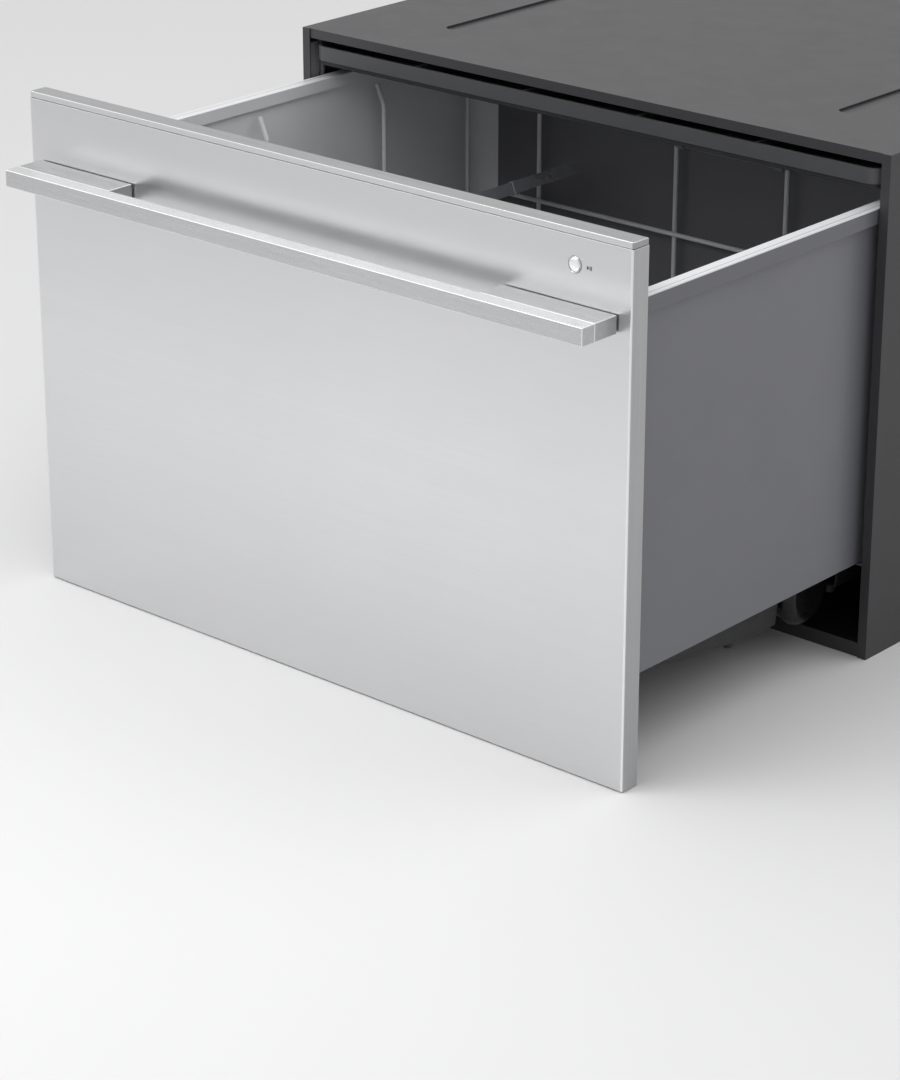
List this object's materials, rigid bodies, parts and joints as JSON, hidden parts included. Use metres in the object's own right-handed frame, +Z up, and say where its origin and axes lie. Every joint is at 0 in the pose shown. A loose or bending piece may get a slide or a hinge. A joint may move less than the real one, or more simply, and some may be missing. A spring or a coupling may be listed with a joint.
{
  "type": "dishwasher drawer",
  "caption": "Single-drawer dishwasher for a kitchen cabinet: housing on the floor of its niche, tub on telescopic runners, steel front with bar handle, racks and sealing lid.",
  "frame": {"origin": "centre of the housing's underside", "axes": "+X to the right as seen from the front, +Y from the front into the cabinet, +Z up"},
  "size_m": [0.599, 0.9205, 0.41],
  "materials": {
    "case_steel": "satin dark grey painted sheet",
    "zinc_steel": "bright zinc-plated steel",
    "trim_plastic": "smooth grey",
    "dark_plastic": "satin black",
    "lid_plastic": "satin dark grey",
    "seal_rubber": "matt",
    "panel_steel": "fine level brushing",
    "handle_metal": "fine brushing along the bar",
    "frame_plastic": "moulded grey",
    "tub_plastic": "smooth mid grey",
    "pan_plastic": "satin dark grey",
    "pump_plastic": "gloss black",
    "motor_metal": "dark painted casing",
    "steel_bare": "bare stainless steel",
    "filter_plastic": "smooth grey",
    "wire_coat": "grey-white nylon coating over steel wire",
    "clip_plastic": "smooth grey",
    "rack_plastic": "translucent grey",
    "button_metal": "polished",
    "bezel_metal": "satin",
    "board_green": "green laminate",
    "valve_plastic": "natural white",
    "cap_plastic": "blue-grey"
  },
  "bodies": {
    "chassis": {"chassis_side_left": "case_steel", "chassis_side_right": "case_steel", "chassis_back": "case_steel", "chassis_base": "case_steel", "chassis_top": "case_steel", "front_trim": "trim_plastic", "rail_bracket_left": "zinc_steel", "rail_bracket_right": "zinc_steel", "runner_outer_left": "zinc_steel", "runner_outer_right": "zinc_steel", "lid_guides": "dark_plastic", "lid_actuator_left": "dark_plastic", "lid_actuator_right": "dark_plastic", "inlet_valve": "valve_plastic", "drain_outlet": "dark_plastic", "power_inlet": "dark_plastic", "leak_float": "valve_plastic", "chassis_screws": "zinc_steel"},
    "sealing_lid": {"lid": "lid_plastic", "lid_gasket": "seal_rubber", "lid_pins": "zinc_steel"},
    "runner_middle": {"runner_middle_left": "zinc_steel", "runner_middle_right": "zinc_steel"},
    "drawer": {"front_panel": "panel_steel", "top_cap": "handle_metal", "panel_frame": "frame_plastic", "panel_mounts": "frame_plastic", "handle_bar": "handle_metal", "handle_block_left": "handle_metal", "handle_block_right": "handle_metal", "handle_screws": "zinc_steel", "button_bezel": "bezel_metal", "control_board": "board_green", "tub": "tub_plastic", "tub_pan": "pan_plastic", "pan_clips": "dark_plastic", "runner_inner_left": "zinc_steel", "runner_inner_right": "zinc_steel", "filter_plate": "filter_plastic", "drain_filter": "clip_plastic", "heater_ring": "steel_bare", "wash_motor": "motor_metal", "motor_screws": "zinc_steel", "drain_pump": "pump_plastic", "dispenser_body": "clip_plastic", "rinse_cap": "cap_plastic", "basket": "wire_coat", "basket_rail": "wire_coat", "basket_uprights": "wire_coat", "plate_tines": "wire_coat", "tine_clips": "clip_plastic", "basket_grips": "clip_plastic", "cutlery_basket": "clip_plastic"},
    "button": {"start_button": "button_metal"},
    "spinning_arm": {"spray_arm": "clip_plastic"},
    "impeller": {"wash_rotor": "filter_plastic"},
    "folding_cup_rack": {"cup_rack": "rack_plastic"},
    "folding_tines_left": {"tine_rack_left": "wire_coat"},
    "folding_tines_right": {"tine_rack_right": "wire_coat"},
    "detergent_flap": {"dispenser_lid": "filter_plastic"}
  },
  "joints": [
    {"name": "drawer_slide", "type": "slide", "parent": "chassis", "child": "drawer", "axis": [0, -1, 0], "range_m": [-0.285, 0.235]},
    {"name": "runner_middle_slide", "type": "slide", "parent": "chassis", "child": "runner_middle", "axis": [0, -1, 0], "range_m": [-0.1425, 0.1175]},
    {"name": "lid_lower", "type": "slide", "parent": "chassis", "child": "sealing_lid", "axis": [0, 0, -1], "range_m": [0, 0.0115]},
    {"name": "start_button_press", "type": "slide", "parent": "drawer", "child": "button", "axis": [0, 1, 0], "range_m": [0, 0.0012], "stiffness_N_per_m": 500, "springref_m": -0.0006},
    {"name": "spray_arm_spin", "type": "hinge", "parent": "drawer", "child": "spinning_arm", "pos_m": [0, -0.3085, 0.11], "axis": [0, 0, 1], "continuous": true},
    {"name": "wash_rotor_spin", "type": "hinge", "parent": "drawer", "child": "impeller", "pos_m": [0, -0.3085, 0.056], "axis": [0, 0, 1], "continuous": true},
    {"name": "cup_rack_fold", "type": "hinge", "parent": "drawer", "child": "folding_cup_rack", "pos_m": [-0.2599, -0.3085, 0.22595], "axis": [0, -1, 0], "range_deg": [0, 62]},
    {"name": "tines_left_fold", "type": "hinge", "parent": "drawer", "child": "folding_tines_left", "pos_m": [-0.06, -0.3085, 0.13365], "axis": [0, -1, 0], "range_deg": [0, 88]},
    {"name": "tines_right_fold", "type": "hinge", "parent": "drawer", "child": "folding_tines_right", "pos_m": [0.13, -0.3085, 0.13365], "axis": [0, -1, 0], "range_deg": [0, 88]},
    {"name": "dispenser_lid_open", "type": "hinge", "parent": "drawer", "child": "detergent_flap", "pos_m": [0.111, -0.5494, 0.325], "axis": [1, 0, 0], "range_deg": [0, 80]}
  ],
  "couplings": [
    {"joint": "runner_middle_slide", "follows": "drawer_slide", "ratio": 0.5}
  ]
}
